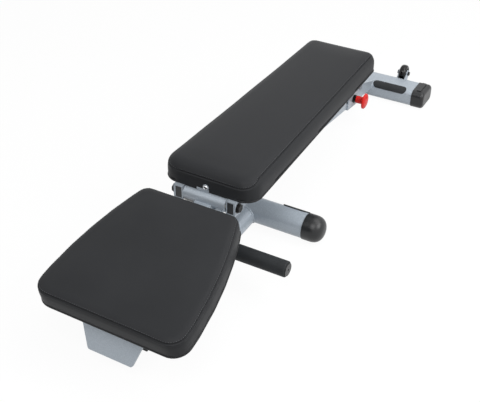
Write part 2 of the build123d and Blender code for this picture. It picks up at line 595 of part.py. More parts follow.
# Back board and pad
back_board = Pos(0, 0, BOARD_Z) * extrude(back_outline(BOARD_INSET), BOARD_T)
back_pad = pad_edges(extrude(back_outline(0), BACK_PAD_H), PAD_TOP_R, PAD_LOW_R)
nodes["back_pad"] = Pos(0, 0, BOARD_Z) * back_pad - back_board - dome_shank
for fixing in back_screws:
    back_board -= fixing
nodes["back_board"] = back_board - dome_shank
nodes["back_screws"] = Compound(back_screws)

# Strut: two flat arms, a spreader bar, and the pin through the rails
strut_pin = strut_top + rod_x(STRUT_PIN_HEAD_R, RAIL_OUT, RAIL_OUT + STRUT_PIN_HEAD_H, STRUT_L, HINGE_Z)
strut_pin += rod_x(STRUT_PIN_HEAD_R, -RAIL_OUT - STRUT_PIN_HEAD_H, -RAIL_OUT, STRUT_L, HINGE_Z)
nodes["strut_pin"] = strut_pin
spacer = rod_x(SPACER_R, STRUT_OUT + MOVE_GAP, RAIL_IN, STRUT_L, HINGE_Z) - strut_top
both_sides("strut_spacer", spacer)
arm = block(STRUT_IN, STRUT_OUT, 0, STRUT_L, -STRUT_HALF_H, STRUT_HALF_H)
arm += rod_x(STRUT_HALF_H, STRUT_IN, STRUT_OUT) + rod_x(STRUT_HALF_H, STRUT_IN, STRUT_OUT, STRUT_L)
arm -= rod_x(STRUT_TOP_PIN_R + TURN_CLEAR, STRUT_IN, STRUT_OUT)
arm -= rod_x(STRUT_LOW_PIN_R + TURN_CLEAR, STRUT_IN, STRUT_OUT, STRUT_L)
bar = rod_x(STRUT_BAR_R, -STRUT_IN, STRUT_IN, STRUT_BAR_AT)
nodes["strut"] = strut_frame * (arm + mirrored(arm) + bar)

# Carriage: sleeve round the beam with ears for the strut and a pull pin on the right
car_bore = beam_half + SLIDE_GAP
car_from = CAR_AT - CAR_FRONT
car_to = CAR_AT + CAR_REAR
sleeve = block(-CAR_HALF, CAR_HALF, car_from, car_to, -BEAM_DROP - CAR_HALF, -BEAM_DROP + CAR_HALF)
ear = block(car_bore, CAR_HALF, CAR_AT - CAR_EAR_R, CAR_AT + CAR_EAR_R, -BEAM_DROP, 0)
ear += rod_x(CAR_EAR_R, car_bore, CAR_HALF, CAR_AT)
sleeve += ear + mirrored(ear)
sleeve -= block(-car_bore, car_bore, car_from, car_to, -BEAM_DROP - car_bore, -BEAM_DROP + car_bore)
low_pin = rod_x(STRUT_LOW_PIN_R, -STRUT_OUT - MOVE_GAP, STRUT_OUT + MOVE_GAP, CAR_AT)
sleeve -= low_pin
pin_place = Pos(0, CAR_AT - PIN_AHEAD, -BEAM_DROP)
sleeve -= pin_place * rod_x(PULL_R + TURN_CLEAR, 0, BEAM_W)
nodes["carriage"] = beam_frame * sleeve
pin_head = rod_x(STRUT_PIN_HEAD_R, STRUT_OUT + MOVE_GAP, STRUT_OUT + MOVE_GAP + STRUT_PIN_HEAD_H, CAR_AT)
nodes["carriage_pin"] = beam_frame * (low_pin + pin_head + mirrored(pin_head))
housing, plunger, knob = pull_pin(CAR_HALF, beam_half + PULL_NOSE_GAP)
nodes["back_pin_housing"] = beam_frame * pin_place * housing
nodes["back_pin"] = beam_frame * pin_place * plunger
nodes["back_knob"] = beam_frame * pin_place * knob

# Seat: tube on a barrel hinge, wings under the board, toothless sector with lock holes
seat_barrel = rod_x(SEAT_BARREL_R, -SEAT_BARREL_HALF, SEAT_BARREL_HALF, SEAT_HINGE_Y, SEAT_HINGE_Z)
tube_half = SEAT_TUBE_W / 2
tube_low = -SEAT_PAD_H - SEAT_TUBE_H
seat_core = seat_frame * block(-tube_half, tube_half, -SEAT_TUBE_END_S, -SEAT_HINGE_S, tube_low, -SEAT_PAD_H)
seat_hollow = seat_frame * block(-tube_half + SEAT_TUBE_WALL, tube_half - SEAT_TUBE_WALL, -SEAT_TUBE_END_S,
                                 -SEAT_HINGE_S, tube_low + SEAT_TUBE_WALL, -SEAT_PAD_H - SEAT_TUBE_WALL)
seat_bore = rod_x(SEAT_PIN_R + TURN_CLEAR, -SEAT_BARREL_HALF, SEAT_BARREL_HALF, SEAT_HINGE_Y, SEAT_HINGE_Z)
plug_in = SEAT_TUBE_WALL + TURN_CLEAR
seat_plug = block(-tube_half + plug_in, tube_half - plug_in, -SEAT_TUBE_END_S, -SEAT_TUBE_END_S + PLUG_DEPTH,
                  tube_low + plug_in, -SEAT_PAD_H - plug_in)
plug_front = -SEAT_TUBE_END_S - PLUG_FLANGE
seat_plug += block(-tube_half, tube_half, plug_front, -SEAT_TUBE_END_S, tube_low, -SEAT_PAD_H)
nodes["seat_tube_plug"] = seat_frame * seat_plug

wing = block(tube_half, WING_X, -WING_OUT_S, -WING_IN_S, -SEAT_PAD_H - WING_T, -SEAT_PAD_H)
seat_screws = []
for wing_y in (-WING_IN_S - SEAT_SCREW_X / 5, -WING_OUT_S + SEAT_SCREW_X / 5):
    fixing = screw(SEAT_SCREW_X, wing_y, -SEAT_PAD_H - WING_T)
    wing -= fixing
    seat_screws.append(fixing)
    seat_screws.append(mirrored(fixing))
seat_board = extrude(seat_outline(BOARD_INSET), BOARD_T)
seat_pad = pad_edges(extrude(seat_outline(0), SEAT_PAD_H), PAD_TOP_R, PAD_LOW_R) - seat_board
nodes["seat_pad"] = seat_frame * Pos(0, 0, -SEAT_PAD_H) * seat_pad
seat_board = Pos(0, 0, -SEAT_PAD_H) * seat_board
for fixing in seat_screws:
    seat_board -= fixing
nodes["seat_board"] = seat_frame * seat_board
nodes["seat_screws"] = seat_frame * Compound(seat_screws)

hinge_at = Pos(0, SEAT_HINGE_Y, SEAT_HINGE_Z)
sector = block(SECTOR_X, SECTOR_X + SECTOR_T, -SECTOR_STEM, SECTOR_STEM, -SECTOR_R, 0)
for step in SEAT_STEPS:
    eye = Rot(step, 0, 0) * Pos(0, 0, -SECTOR_R)
    sector += eye * rod_x(SECTOR_RIM, SECTOR_X, SECTOR_X + SECTOR_T)
for step in SEAT_STEPS:
    eye = Rot(step, 0, 0) * Pos(0, 0, -SECTOR_R)
    sector -= eye * rod_x(LADDER_HOLE_R, SECTOR_X, SECTOR_X + SECTOR_T)
seat_bracket = (seat_core - seat_hollow) + seat_barrel + (hinge_at * sector - seat_hollow)
seat_bracket += seat_frame * (wing + mirrored(wing))
nodes["seat_bracket"] = seat_bracket - seat_bore

# Seat lugs on the upright, hinge pin, and the seat's pull pin on the left
lug_top = SEAT_HINGE_Z + LUG_R
lock_z = SEAT_HINGE_Z - SECTOR_R
lug = side_plate([(0, lug_top), (SEAT_HINGE_Y, lug_top), (SEAT_HINGE_Y - LUG_R, SEAT_HINGE_Z),
                  (-UPRIGHT_HALF_D, lock_z), (0, lock_z)], LUG_IN, LUG_OUT)
lug += rod_x(LUG_R, LUG_IN, LUG_OUT, SEAT_HINGE_Y, SEAT_HINGE_Z)
lug_hole = rod_x(SEAT_PIN_R, -LUG_OUT, LUG_OUT, SEAT_HINGE_Y, SEAT_HINGE_Z)
lock_plate = side_plate([(0, lug_top), (SEAT_HINGE_Y, lug_top), (SEAT_HINGE_Y - LUG_R, SEAT_HINGE_Z),
                         (SEAT_HINGE_Y - PULL_FLANGE_R, lock_z), (SEAT_HINGE_Y, lock_z - PULL_FLANGE_R),
                         (0, lock_z)], LUG_IN, LUG_OUT)
lock_plate += rod_x(LUG_R, LUG_IN, LUG_OUT, SEAT_HINGE_Y, SEAT_HINGE_Z)
lock_plate += rod_x(PULL_FLANGE_R, LUG_IN, LUG_OUT, SEAT_HINGE_Y, lock_z)
lock_plate -= rod_x(PULL_R + TURN_CLEAR, LUG_IN, LUG_OUT, SEAT_HINGE_Y, lock_z)
upright += lug + mirrored(lock_plate)
nodes["upright"] = upright - floor_core - hinge_core - handle_core - lug_hole
seat_pin = lug_hole + rod_x(SEAT_PIN_HEAD_R, LUG_OUT, LUG_OUT + SEAT_PIN_HEAD_H, SEAT_HINGE_Y, SEAT_HINGE_Z)
seat_pin += rod_x(SEAT_PIN_HEAD_R, -LUG_OUT - SEAT_PIN_HEAD_H, -LUG_OUT, SEAT_HINGE_Y, SEAT_HINGE_Z)
nodes["seat_hinge_pin"] = seat_pin
housing, plunger, knob = pull_pin(LUG_OUT, -SECTOR_X + PULL_NOSE_GAP)
lock_at = Pos(0, SEAT_HINGE_Y, lock_z)
nodes["seat_pin_housing"] = mirrored(lock_at * housing)
nodes["seat_pin"] = mirrored(lock_at * plunger)
nodes["seat_knob"] = mirrored(lock_at * knob)

# Stop under the seat tube: post on the floor tube with a rubber buffer
under_seat = seat_frame * block(-SEAT_TUBE_W, SEAT_TUBE_W, -SEAT_FRONT_S, 0, tube_low - MOVE_GAP, 0)
stop_top = SEAT_REF_Z + (STOP_Y - SEAT_REF_Y) * SLOPE_SIN / SLOPE_COS + tube_low / SLOPE_COS
stop_join = stop_top - STOP_RUBBER_H
stop_post = rod_z(STOP_POST_R, FLOOR_TUBE_Z, stop_join, 0, STOP_Y) - floor_core
nodes["floor_tube"] = floor_tube - front_core + stop_post
nodes["stop_rubber"] = rod_z(STOP_RUBBER_R, stop_join, stop_top + STOP_RUBBER_H, 0, STOP_Y) - under_seat

os.makedirs("parts", exist_ok=True)
for name, part in nodes.items():
    export_step(Pos(0, -ORIGIN_Y, 0) * part, "parts/" + name + ".step")
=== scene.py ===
import math

import bmesh
import bpy
import numpy
from mathutils import Matrix, Vector
from mathutils.bvhtree import BVHTree
from mathutils.kdtree import KDTree


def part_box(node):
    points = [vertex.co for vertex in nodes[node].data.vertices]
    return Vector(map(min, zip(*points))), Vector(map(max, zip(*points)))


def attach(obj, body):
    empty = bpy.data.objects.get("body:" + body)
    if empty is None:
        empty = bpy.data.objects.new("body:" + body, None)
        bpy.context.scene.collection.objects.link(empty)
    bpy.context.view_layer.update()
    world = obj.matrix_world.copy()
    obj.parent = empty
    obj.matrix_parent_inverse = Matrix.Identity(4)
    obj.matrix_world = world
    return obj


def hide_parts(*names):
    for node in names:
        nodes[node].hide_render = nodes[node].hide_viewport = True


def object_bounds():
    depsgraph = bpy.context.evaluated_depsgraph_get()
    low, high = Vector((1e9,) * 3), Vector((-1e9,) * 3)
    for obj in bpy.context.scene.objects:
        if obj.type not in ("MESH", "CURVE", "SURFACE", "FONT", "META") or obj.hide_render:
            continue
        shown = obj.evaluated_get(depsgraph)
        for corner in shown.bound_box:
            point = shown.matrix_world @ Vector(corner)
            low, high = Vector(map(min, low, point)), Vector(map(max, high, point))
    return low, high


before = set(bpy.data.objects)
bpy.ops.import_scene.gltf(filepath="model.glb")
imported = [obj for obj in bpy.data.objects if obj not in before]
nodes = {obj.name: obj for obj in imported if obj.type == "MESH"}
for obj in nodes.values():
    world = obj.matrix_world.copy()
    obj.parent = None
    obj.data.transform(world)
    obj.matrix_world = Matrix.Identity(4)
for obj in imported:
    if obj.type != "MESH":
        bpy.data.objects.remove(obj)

cad_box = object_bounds()


# Welded frame: round and square steel tube, plates and brackets, welded and then powder coated.
# The coat is a satin silver-grey with fine aluminium flake, smooth on the tubes.
def linear(code):
    """Colour from an sRGB hex code, as the linear values a shader socket takes."""
    parts = [int(code[i:i + 2], 16) / 255 for i in (1, 3, 5)]
    return [c / 12.92 if c <= 0.04045 else ((c + 0.055) / 1.055) ** 2.4 for c in parts] + [1.0]


def add(material, kind, inputs=None, **settings):
    """Add a node with its settings; an input is a value or the socket that feeds it."""
    made = material.node_tree.nodes.new(kind)
    for key, value in settings.items():
        setattr(made, key, value)
    for key, value in (inputs or {}).items():
        if isinstance(value, bpy.types.NodeSocket):
            material.node_tree.links.new(value, made.inputs[key])
        else:
            made.inputs[key].default_value = value
    return made


def coating(name, code, **sockets):
    """New material with plain values on its shader; also gives the piece's own coordinates in metres."""
    material = bpy.data.materials.new(name)
    material.use_nodes = True
    shader = material.node_tree.nodes["Principled BSDF"]
    shader.inputs["Base Color"].default_value = linear(code)
    for key, value in sockets.items():
        shader.inputs[key.replace("_", " ")].default_value = value
    return material, shader, add(material, "ShaderNodeTexCoord").outputs["Object"]


def feed(material, shader, socket, source):
    """Link a node's output to the shader."""
    material.node_tree.links.new(source, shader.inputs[socket])


def clouds(material, place, size, detail):
    """Noise with clouds of a size in metres, as a value from 0 to 1."""
    noise = add(material, "ShaderNodeTexNoise", {"Vector": place, "Scale": 1 / size, "Detail": detail})
    return noise.outputs["Fac"]


def tint(material, shader, source, dark, light):
    """Base colour that runs between two sRGB hex codes with the source."""
    ramp = add(material, "ShaderNodeValToRGB", {"Fac": source})
    ramp.color_ramp.elements[0].color = linear(dark)
    ramp.color_ramp.elements[1].color = linear(light)
    feed(material, shader, "Base Color", ramp.outputs["Color"])


def gloss(material, shader, source, low, high):
    """Roughness that runs between two values with the source."""
    level = add(material, "ShaderNodeMapRange", {"Value": source, "To Min": low, "To Max": high})
    feed(material, shader, "Roughness", level.outputs["Result"])


def relief(material, shader, source, strength, depth, **settings):
    """Fine bumps of a depth in metres, raised by the source."""
    bump = add(material, "ShaderNodeBump",
               {"Height": source, "Strength": strength, "Distance": depth}, **settings)
    feed(material, shader, "Normal", bump.outputs["Normal"])


def dress(material, *names):
    """Give CAD pieces this material."""
    for name in names:
        nodes[name].data.materials.clear()
        nodes[name].data.materials.append(material)


# Flake about 0.4 mm, drawn at 1.5 mm so that it shows; orange peel of the coat about 6 mm.
powder, shader, place = coating("silver_powder_coat", "#b3bcc5", Metallic=0.2, Roughness=0.4,
                                Coat_Weight=0.1, Coat_Roughness=0.25)
flake = add(powder, "ShaderNodeTexVoronoi", {"Vector": place, "Scale": 1 / 0.0015})
tint(powder, shader, flake.outputs["Color"], "#a6b0ba", "#bfc8d1")
gloss(powder, shader, clouds(powder, place, 0.09, 3.0), 0.34, 0.46)
relief(powder, shader, clouds(powder, place, 0.006, 2.0), 0.06, 0.0006)
dress(powder, "floor_tube", "front_leg", "upright", "main_beam", "hinge_tube", "handle_bar",
      "front_foot", "rear_foot")

# Weld beads where the tubes of the frame meet: MIG seams laid by hand, coated over with the tubes.
# Each is a rounded fillet some 7 mm wide with a ripple every 5 mm or so.
BEAD_R = 0.0036
RIPPLE = 0.0026
RIPPLE_DEPTH = 0.3
# Place of the upright's middle along the bench; then the upright, beam, rear foot and wheel ears.
HINGE_Y = -0.404568
POST_HALF_X, POST_HALF_Y, POST_TOP = 0.025, 0.035, 0.221
BEAM_HALF, BEAM_AT_POST, BEAM_UNDER = 0.025, 0.1883, 0.0395
REAR_FRONT, REAR_DEPTH, REAR_TOP, REAR_ROUND = HINGE_Y + 1.122, 0.1, 0.062, 0.020
EAR_HALF, EAR_LOW, EAR_HIGH, WHEEL_X = 0.017, 0.024, 0.036, 0.1
# Steps and angles in degrees of the curved beads: over the rear foot, round the floor tube, the rest.
OVER_STEPS, OVER_FROM, OVER_BACK = 8, 84, 0.018
SADDLE_STEPS, SADDLE_FROM, SADDLE_TURN = 30, -40, 260
ARC_HALF_STEPS = 5
RING_STEPS = 18


def piece(name, mesh, material):
    """Object at the origin from a finished mesh, with smooth faces."""
    made = bpy.data.objects.new(name, mesh)
    bpy.context.scene.collection.objects.link(made)
    mesh.materials.clear()
    mesh.materials.append(material)
    mesh.polygons.foreach_set("use_smooth", [True] * len(mesh.polygons))
    return made


def evaluated(thing):
    """Mesh of an object with its modifiers applied."""
    graph = bpy.context.evaluated_depsgraph_get()
    return bpy.data.meshes.new_from_object(thing.evaluated_get(graph))


def walk(points, step, closed=True):
    """Points at even steps along straight runs between corners."""
    ends = points[1:] + points[:1] if closed else points[1:]
    out = []
    for a, b in zip(points, ends):
        parts = max(1, round((b - a).length / step))
        out += [a.lerp(b, i / parts) for i in range(parts)]
    return out if closed else out + [points[-1]]


def cord_mesh(name, runs, radius, ripple=0.0):
    """Mesh of thin round cords along closed or open runs of points."""
    curve = bpy.data.curves.new(name, "CURVE")
    curve.dimensions = "3D"
    curve.bevel_depth = radius
    curve.bevel_resolution = 2
    curve.use_fill_caps = True
    for points, closed in runs:
        line = curve.splines.new("NURBS")
        line.points.add(len(points) - 1)
        for i, (target, point) in enumerate(zip(line.points, points)):
            target.co = (*point, 1)
            target.radius = 1 - ripple * (i % 2)
        line.use_cyclic_u = closed
        line.use_endpoint_u = not closed
        line.order_u = 3
        line.resolution_u = 2
    drawn = bpy.data.objects.new(name + "_path", curve)
    bpy.context.scene.collection.objects.link(drawn)
    mesh = evaluated(drawn)
    bpy.data.objects.remove(drawn)
    return mesh


foot_lo, foot_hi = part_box("front_foot")
foot_mid, foot_r = (foot_lo + foot_hi) / 2, (foot_hi.z - foot_lo.z) / 2
tube_lo, tube_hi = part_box("floor_tube")
tube_r = tube_hi.x
tube_z = tube_lo.z + tube_r
saddle = []
for i in range(SADDLE_STEPS + 1):
    a = math.radians(SADDLE_FROM + i * SADDLE_TURN / SADDLE_STEPS)
    x, z = tube_r * math.cos(a), tube_z + tube_r * math.sin(a)
    reach = math.sqrt(max(0, foot_r ** 2 - (z - foot_mid.z) ** 2))
    saddle.append(Vector((x, foot_mid.y - reach, z)))

post_y0, post_y1 = HINGE_Y - POST_HALF_Y, HINGE_Y + POST_HALF_Y
across = [(-1 + i / ARC_HALF_STEPS) * POST_HALF_X for i in range(2 * ARC_HALF_STEPS + 1)]
front_arc = [Vector((x, post_y0, tube_z + math.sqrt(tube_r ** 2 - x ** 2))) for x in across]
rear_arc = [Vector((-p.x, post_y1, p.z)) for p in front_arc]

bar_lo, bar_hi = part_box("handle_bar")
bar_mid, bar_r = (bar_lo + bar_hi) / 2, (bar_hi.z - bar_lo.z) / 2
turns = [i * math.tau / RING_STEPS for i in range(RING_STEPS)]
bar_ring = [Vector((0, bar_mid.y + bar_r * math.cos(a), bar_mid.z + bar_r * math.sin(a))) for a in turns]
bar_rings = [[p + Vector((side * POST_HALF_X, 0, 0)) for p in bar_ring] for side in (-1, 1)]

hinge_lo, hinge_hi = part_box("hinge_tube")
hinge_mid, hinge_r = (hinge_lo + hinge_hi) / 2, (hinge_hi.z - hinge_lo.z) / 2
cradle_y = math.sqrt(hinge_r ** 2 - (hinge_mid.z - POST_TOP) ** 2)
cradle = [[Vector((x, hinge_mid.y + side * cradle_y, POST_TOP)) for x in (-POST_HALF_X, POST_HALF_X)]
          for side in (-1, 1)]

post_end = [Vector((x * BEAM_HALF, post_y1, BEAM_AT_POST + z * BEAM_HALF))
            for x, z in ((-1, -1), (1, -1), (1, 1), (-1, 1))]

over = [Vector((0, REAR_FRONT + OVER_BACK, REAR_TOP))]
for i in range(OVER_STEPS + 1):
    a = math.radians(OVER_FROM - i * OVER_FROM / OVER_STEPS)
    behind, below = REAR_ROUND * (1 - math.cos(a)), REAR_ROUND * (1 - math.sin(a))
    over.append(Vector((0, REAR_FRONT + behind, REAR_TOP - below)))
over.append(Vector((0, REAR_FRONT, BEAM_UNDER)))
shift = Vector((BEAM_HALF, 0, 0))
foot_weld = [p + shift for p in over] + [p - shift for p in reversed(over)]

ear_foot = [(-EAR_HALF, EAR_LOW), (-EAR_HALF, EAR_HIGH), (EAR_HALF, EAR_HIGH), (EAR_HALF, EAR_LOW)]
ear_weld = [[Vector((side * WHEEL_X + x, REAR_FRONT + REAR_DEPTH, z)) for x, z in ear_foot]
            for side in (-1, 1)]

loops = [front_arc + rear_arc, post_end] + bar_rings
strokes = [saddle] + cradle + [foot_weld] + ear_weld
runs = [(walk(points, RIPPLE), True) for points in loops]
runs += [(walk(points, RIPPLE, closed=False), False) for points in strokes]
beads = piece("weld_beads", cord_mesh("weld_beads", runs, BEAD_R, RIPPLE_DEPTH), powder)
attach(beads, "frame")

# Covers of the upright: two strips of 2 mm sheet welded over its open top, before and behind the hinge
# tube, and coated with the frame.
COVER_T = 0.002
COVER_ROUND = 0.0006
bm = bmesh.new()
for near, far in ((post_y0, hinge_mid.y - cradle_y), (hinge_mid.y + cradle_y, post_y1)):
    strip = bmesh.ops.create_cube(bm, size=1.0)["verts"]
    bmesh.ops.scale(bm, verts=strip, vec=(2 * POST_HALF_X, far - near, COVER_T))
    bmesh.ops.translate(bm, verts=strip, vec=(0, (near + far) / 2, POST_TOP))
bmesh.ops.bevel(bm, geom=bm.edges[:], offset=COVER_ROUND, affect="EDGES", segments=2, profile=0.5,
                material=-1)
mesh = bpy.data.meshes.new("upright_covers")
bm.to_mesh(mesh)
bm.free()
covers = piece("upright_covers", mesh, powder)
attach(covers, "frame")

# End caps and plugs: injection-moulded polypropylene pushed into the open tube ends.
# A fine spark-eroded grain makes them matt, with a soft sheen on the round corners.
moulded, shader, place = coating("moulded_black_polypropylene", "#1c1d1f", Roughness=0.36, IOR=1.49)
relief(moulded, shader, clouds(moulded, place, 0.0012, 4.0), 0.25, 0.0003)
gloss(moulded, shader, clouds(moulded, place, 0.03, 3.0), 0.28, 0.42)
dress(moulded, "front_cap_right", "front_cap_left", "rear_cap_right", "rear_cap_left",
      "floor_tube_plug", "rail_plug_right", "rail_plug_left", "rail_end_right", "rail_end_left",
      "seat_tube_plug", "grip_plug_right", "grip_plug_left")

# Grips, treads, rubber foot and seat stop: moulded black rubber, pebbled, matt and slightly dusty.
# The grips are slid over the handle bar; the treads are bonded to the feet.
rubber, shader, place = coating("moulded_black_rubber", "#1f2123", Roughness=0.68, IOR=1.52,
                                Specular_IOR_Level=0.35)
pebble = add(rubber, "ShaderNodeTexVoronoi", {"Vector": place, "Scale": 1 / 0.0022}, feature="SMOOTH_F1")
relief(rubber, shader, pebble.outputs["Distance"], 0.3, 0.0004, invert=True)
tint(rubber, shader, clouds(rubber, place, 0.025, 4.0), "#1b1d1f", "#282b2e")
dress(rubber, "grip_right", "grip_left", "front_tread_right", "front_tread_left", "rear_tread_right",
      "rear_tread_left", "front_rubber_foot", "stop_rubber")

# Transport wheels: a round tyre and dished hub moulded in one from glossy black nylon, a little
# scuffed. Each turns on a bolt between two ears behind the rear foot.
SPIN_STEPS = 56
tyre, shader, place = coating("glossy_black_nylon", "#070708", Roughness=0.1, IOR=1.53,
                              Specular_IOR_Level=0.34)
gloss(tyre, shader, clouds(tyre, place, 0.008, 5.0), 0.05, 0.11)
# Half of the wheel's section, from the bore out to the tread: place across the wheel, and radius.
half_section = [(0.0125, 0.0052), (0.0125, 0.0086), (0.0119, 0.0094), (0.0058, 0.0102),
                (0.0050, 0.0110), (0.0050, 0.0166), (0.0056, 0.0174), (0.0098, 0.0184),
                (0.0114, 0.0200), (0.0121, 0.0226), (0.0114, 0.0256), (0.0094, 0.0279),
                (0.0064, 0.0293), (0.0032, 0.0299)]
section = half_section + [(0.0, 0.0300)] + [(-x, r) for x, r in reversed(half_section)]
for side in ("right", "left"):
    wheel_lo, wheel_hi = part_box("wheel_" + side)
    bm = bmesh.new()
    rim = [bm.verts.new((x, 0, r)) for x, r in section]
    outline = [bm.edges.new((a, b)) for a, b in zip(rim, rim[1:] + rim[:1])]
    bmesh.ops.spin(bm, geom=rim + outline, cent=(0, 0, 0), axis=(1, 0, 0), angle=math.tau,
                   steps=SPIN_STEPS, use_merge=True)
    bmesh.ops.recalc_face_normals(bm, faces=bm.faces)
    bmesh.ops.translate(bm, verts=bm.verts, vec=(wheel_lo + wheel_hi) / 2)
    mesh = bpy.data.meshes.new("wheel_" + side)
    bm.to_mesh(mesh)
    bm.free()
    wheel = piece("tyre_" + side, mesh, tyre)
    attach(wheel, "wheel_" + side[0])
    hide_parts("wheel_" + side)

# Hinge bolt, wheel bolts and pull-pin housings: steel with a black oxide finish, oiled.
# Satin, a little brown where the oil is thin.
oxide, shader, place = coating("black_oxide_steel", "#232426", Metallic=0.7, Roughness=0.38)
tint(oxide, shader, clouds(oxide, place, 0.006, 4.0), "#161618", "#2b2927")
dress(oxide, "hinge_bolt", "wheel_axle_right", "wheel_axle_left", "back_pin_housing", "seat_pin_housing")

# Pins, plungers and pad screws: turned steel with bright zinc plating.
# The plating clouds a little where it was dipped and dried.
zinc, shader, place = coating("zinc_plated_steel", "#b9bbbd", Metallic=1.0, Roughness=0.3)
gloss(zinc, shader, clouds(zinc, place, 0.007, 3.0), 0.22, 0.4)
dress(zinc, "seat_hinge_pin", "strut_pin", "carriage_pin", "back_pin", "seat_pin", "back_screws",
      "seat_screws")

# Hinge bushes and strut spacers: turned from natural nylon rod, milky white.
# They keep the coated steel faces apart and let the back swing without oil.
nylon, shader, place = coating("natural_nylon", "#d8d5ca", Roughness=0.4, IOR=1.53)
gloss(nylon, shader, clouds(nylon, place, 0.01, 2.0), 0.34, 0.46)
dress(nylon, "hinge_bush_right", "hinge_bush_left", "strut_spacer_right", "strut_spacer_left")

# Back rest: two box rails with hinge plates and two cross plates, in the frame's silver coat.
# A chrome dome bolt, slightly hazed, holds the front clip to the edge of the board.
dress(powder, "back_rail_right", "back_rail_left", "cross_plate_front", "cross_plate_rear")
chrome, shader, place = coating("polished_chrome", "#d8d9db", Metallic=1.0, Roughness=0.07)
gloss(chrome, shader, clouds(chrome, place, 0.004, 3.0), 0.04, 0.12)
dress(chrome, "clip_bolt")

# Boards under the pads: birch plywood, 18 mm, stained black where the cover doesn't wrap it.
# Long grain shows through on the face, and glue lines every 1.5 mm at the edge.
ply, shader, place = coating("black_stained_plywood", "#242220", Roughness=0.62, IOR=1.5)
along = add(ply, "ShaderNodeMapping", {"Vector": place, "Scale": (1 / 0.006, 1 / 0.12, 1 / 0.0015)})
fibre = clouds(ply, along.outputs["Vector"], 1.0, 5.0)
tint(ply, shader, fibre, "#1a1918", "#35312d")
relief(ply, shader, fibre, 0.2, 0.0005)
dress(ply, "back_board", "seat_board")

# Back pad: firm foam on the board, under charcoal vinyl-coated cloth with a fine embossed grain.
# A top panel and a side band are sewn together; the seam runs on the round of the edge and drops
# to the foot of the round across the front.
vinyl, shader, place = coating("charcoal_vinyl", "#2e2f31", Roughness=0.5, IOR=1.47,
                               Specular_IOR_Level=0.13)
cells = add(vinyl, "ShaderNodeTexVoronoi", {"Vector": place, "Scale": 1 / 0.0024}, feature="SMOOTH_F1")
creases = add(vinyl, "ShaderNodeTexNoise",
              {"Vector": place, "Scale": 1 / 0.0045, "Detail": 6.0, "Roughness": 0.6})
hide = add(vinyl, "ShaderNodeMath", {0: cells.outputs["Distance"], 1: creases.outputs["Fac"]},
           operation="ADD")
relief(vinyl, shader, hide.outputs["Value"], 0.16, 0.0005)
worn = clouds(vinyl, place, 0.12, 3.0)
tint(vinyl, shader, worn, "#2b2c2e", "#323335")
gloss(vinyl, shader, worn, 0.42, 0.52)

# Piping of the same vinyl in black, puckered every 3 mm where it is turned under, round the hem; on the
# cord sunk in the seam's groove the black is painted shade along the seam.
piping_and_seam_shade, shader, place = coating("black_vinyl_piping_and_painted_seam_shade", "#17181a", Roughness=0.5, IOR=1.47,
                                Specular_IOR_Level=0.3)
relief(piping_and_seam_shade, shader, clouds(piping_and_seam_shade, place, 0.003, 3.0), 0.4, 0.0004)

# Thread about 0.6 mm thick, drawn at 0.9 mm so that it shows; two plies twist once in 1.5 mm. Its colour
# follows the twist, darker in the hollows and lighter on the crests: painted shade and painted highlight.
thread, shader, place = coating("grey_polyester_thread", "#4d4e51", Roughness=0.6, IOR=1.5)
ply_twist_and_shade = add(thread, "ShaderNodeTexWave", {"Vector": place, "Scale": 1 / 0.0015, "Distortion": 2.0})
relief(thread, shader, ply_twist_and_shade.outputs["Fac"], 0.4, 0.0002)
# Darker in the hollows of the twist, lighter on its crests: painted shade and painted highlight.
tint(thread, shader, ply_twist_and_shade.outputs["Fac"], "#434447", "#58595c")

# Block: strip of board left bare below the cover, and steps of the round corners and edges.
BOARD_SHOWS = 0.0012
CORNER_STEPS = 8
ROUND_STEPS = 8
# Swelling: the cloth's pressure and stiffness, room left for it, its limit and how it is evened out.
PRESSURE = 4.0
STIFFNESS = 6.0
SWELL_FRAMES = 20
SWELL_ROOM = 0.0025
SWELL_CAP = 0.006
EVEN_PASSES = 45
SMOOTH_PASSES = 3
FLAT_BELOW = 0.004
# Sewing: the seam's groove with a lip on each side, at so many widths from it; stitches; rolled hem.
SEAM_STEP = 0.008
SEAM_WIDTH = 0.0022
SEAM_DEPTH = 0.0023
SEAM_REACH = 3 * SEAM_WIDTH
SEAM_CORD_R = 0.0009
SEAM_CORD_SINK = SEAM_DEPTH - 0.0004
SEAM_LIP = 0.0009
SEAM_LIP_AT = 1.7
GROOVE_STEP = 0.002
STITCH = 0.0034
THREAD_R = 0.00045
HEM_STEP = 0.01
HEM_IN = 0.7


def pad_block(outline, rounds, height, edge_r):
    """Closed block over a plan outline: corner rounds by vertex, then height and a round top edge."""
    bm = bmesh.new()
    corners = [bm.verts.new((x, y, 0)) for x, y in outline]
    bm.faces.new(corners)
    for group, radius in rounds:
        bmesh.ops.bevel(bm, geom=[corners[i] for i in group], offset=radius, affect="VERTICES",
                        segments=CORNER_STEPS, profile=0.5, material=-1)
    bm.faces.ensure_lookup_table()
    grown = bmesh.ops.extrude_face_region(bm, geom=[bm.faces[0]])["geom"]
    top = [g for g in grown if isinstance(g, bmesh.types.BMFace)][0]
    bmesh.ops.translate(bm, verts=top.verts, vec=(0, 0, height))
    bmesh.ops.bevel(bm, geom=list(top.edges), offset=edge_r, affect="EDGES", segments=ROUND_STEPS,
                    profile=0.5, material=-1)
    bmesh.ops.recalc_face_normals(bm, faces=bm.faces)
    return bm


def edge_rings(bm):
    """Rings of points from the top panel down to the base, each in order of its angle."""
    levels = {}
    for v in bm.verts:
        levels.setdefault(round(v.co.z, 5), []).append(v.co.copy())
    rings = []
    for z in sorted(levels, reverse=True):
        middle = sum(levels[z], Vector()) / len(levels[z])
        rings.append(sorted(levels[z], key=lambda p: math.atan2(p.x - middle.x, p.y - middle.y)))
    return rings


